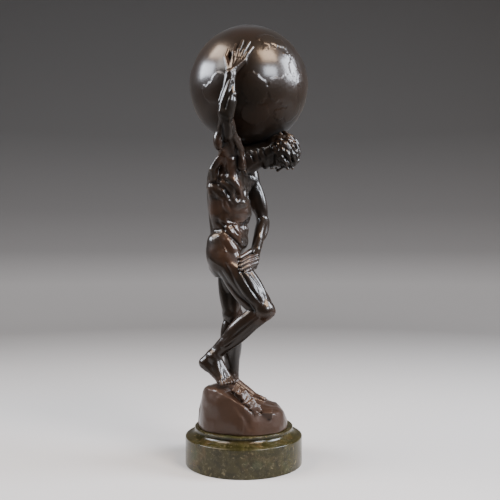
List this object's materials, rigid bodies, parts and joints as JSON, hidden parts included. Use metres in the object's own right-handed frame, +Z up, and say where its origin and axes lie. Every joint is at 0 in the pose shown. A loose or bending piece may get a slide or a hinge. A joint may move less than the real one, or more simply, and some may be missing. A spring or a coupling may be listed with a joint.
{
  "type": "atlas statue",
  "caption": "Bronze figure of Atlas carrying a globe on bowed shoulders, standing on a rock on a round turned marble socle.",
  "frame": {"origin": "middle of the socle's underside, on its turned axis", "axes": "+Z up along the socle's axis, +X the way the figure faces, -Y its right side"},
  "size_m": [0.1689, 0.1776, 0.5999],
  "materials": {
    "bronze": "dark red-brown patinated bronze, waxed",
    "globe_bronze": "dark brown patinated bronze, polished",
    "green_marble": "polished mottled green-brown marble"
  },
  "bodies": {
    "root": {"atlas_figure": "bronze", "globe": "globe_bronze", "marble_socle": "green_marble"}
  },
  "joints": []
}
